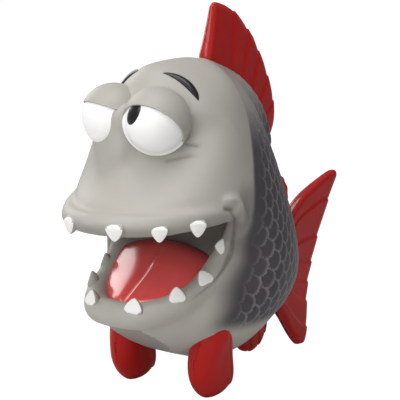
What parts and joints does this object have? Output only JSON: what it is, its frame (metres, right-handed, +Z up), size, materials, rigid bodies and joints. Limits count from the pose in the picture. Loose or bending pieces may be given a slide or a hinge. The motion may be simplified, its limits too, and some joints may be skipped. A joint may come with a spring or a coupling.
{
  "type": "squeaky dog toy",
  "caption": "Hollow soft squeaky toy shaped like a comic open-mouthed fish that stands on its pectoral fins, with bending fins and a squeaker in its throat.",
  "frame": {"origin": "centre of the outline's box, on the floor that the toy stands on", "axes": "+Z up, the snout looks along -Y, +X is the fish's own left side"},
  "size_m": [0.0832, 0.1543, 0.1485],
  "materials": {
    "skin": "soft grey latex with a satin sheen; dark slate paint on the scaled flanks",
    "tongue_red": "glossy red paint on latex",
    "eye_white": "smooth white paint on latex",
    "lid_grey": "satin grey latex",
    "black_paint": "glossy black paint on latex",
    "tooth_white": "hand-painted white on latex",
    "fin_red": "glossy red paint on latex",
    "squeaker_plastic": "natural moulded plastic",
    "reed_film": "thin translucent film"
  },
  "bodies": {
    "toy": {"body_shell": "skin", "tongue": "tongue_red", "left_eye": "eye_white", "right_eye": "eye_white", "left_eyelid": "lid_grey", "right_eyelid": "lid_grey", "left_pupil": "black_paint", "right_pupil": "black_paint", "left_brow": "black_paint", "right_brow": "black_paint", "upper_tooth_left_1": "tooth_white", "upper_tooth_left_2": "tooth_white", "upper_tooth_left_3": "tooth_white", "upper_tooth_right_1": "tooth_white", "upper_tooth_right_2": "tooth_white", "upper_tooth_right_3": "tooth_white", "lower_tooth_left_1": "tooth_white", "lower_tooth_left_2": "tooth_white", "lower_tooth_left_3": "tooth_white", "lower_tooth_left_4": "tooth_white", "lower_tooth_right_1": "tooth_white", "lower_tooth_right_2": "tooth_white", "lower_tooth_right_3": "tooth_white", "lower_tooth_right_4": "tooth_white", "back_fin": "fin_red", "squeaker_housing": "squeaker_plastic", "squeaker_plate": "squeaker_plastic", "squeaker_cap": "squeaker_plastic"},
    "tail": {"tail_fin": "fin_red"},
    "dorsal": {"dorsal_fin": "fin_red"},
    "anal": {"anal_fin": "fin_red"},
    "left_foot": {"left_pectoral_fin": "fin_red"},
    "right_foot": {"right_pectoral_fin": "fin_red"},
    "reed": {"squeaker_reed": "reed_film"}
  },
  "joints": [
    {"name": "tail_wag", "type": "hinge", "parent": "toy", "child": "tail", "pos_m": [0, 0.04225, 0.03814], "axis": [0, 0, 1], "range_deg": [-25, 25], "stiffness_Nm_per_rad": 0.12},
    {"name": "dorsal_bend", "type": "hinge", "parent": "toy", "child": "dorsal", "pos_m": [0, 0.00963, 0.11606], "axis": [0, 0.7575, -0.6528], "range_deg": [-16, 16], "stiffness_Nm_per_rad": 0.1},
    {"name": "anal_bend", "type": "hinge", "parent": "toy", "child": "anal", "pos_m": [0, 0.01531, 0.01379], "axis": [0, 0.9511, 0.309], "range_deg": [-16, 16], "stiffness_Nm_per_rad": 0.03},
    {"name": "left_foot_bend", "type": "hinge", "parent": "toy", "child": "left_foot", "pos_m": [0.02013, -0.03156, 0.02102], "axis": [0, 1, 0], "range_deg": [-11, 11], "stiffness_Nm_per_rad": 0.8},
    {"name": "right_foot_bend", "type": "hinge", "parent": "toy", "child": "right_foot", "pos_m": [-0.02013, -0.03156, 0.02102], "axis": [0, 1, 0], "range_deg": [-11, 11], "stiffness_Nm_per_rad": 0.8},
    {"name": "reed_flutter", "type": "hinge", "parent": "toy", "child": "reed", "pos_m": [0, -0.05062, 0.02865], "axis": [1, 0, 0], "range_deg": [-8, 8], "stiffness_Nm_per_rad": 0.00002}
  ]
}
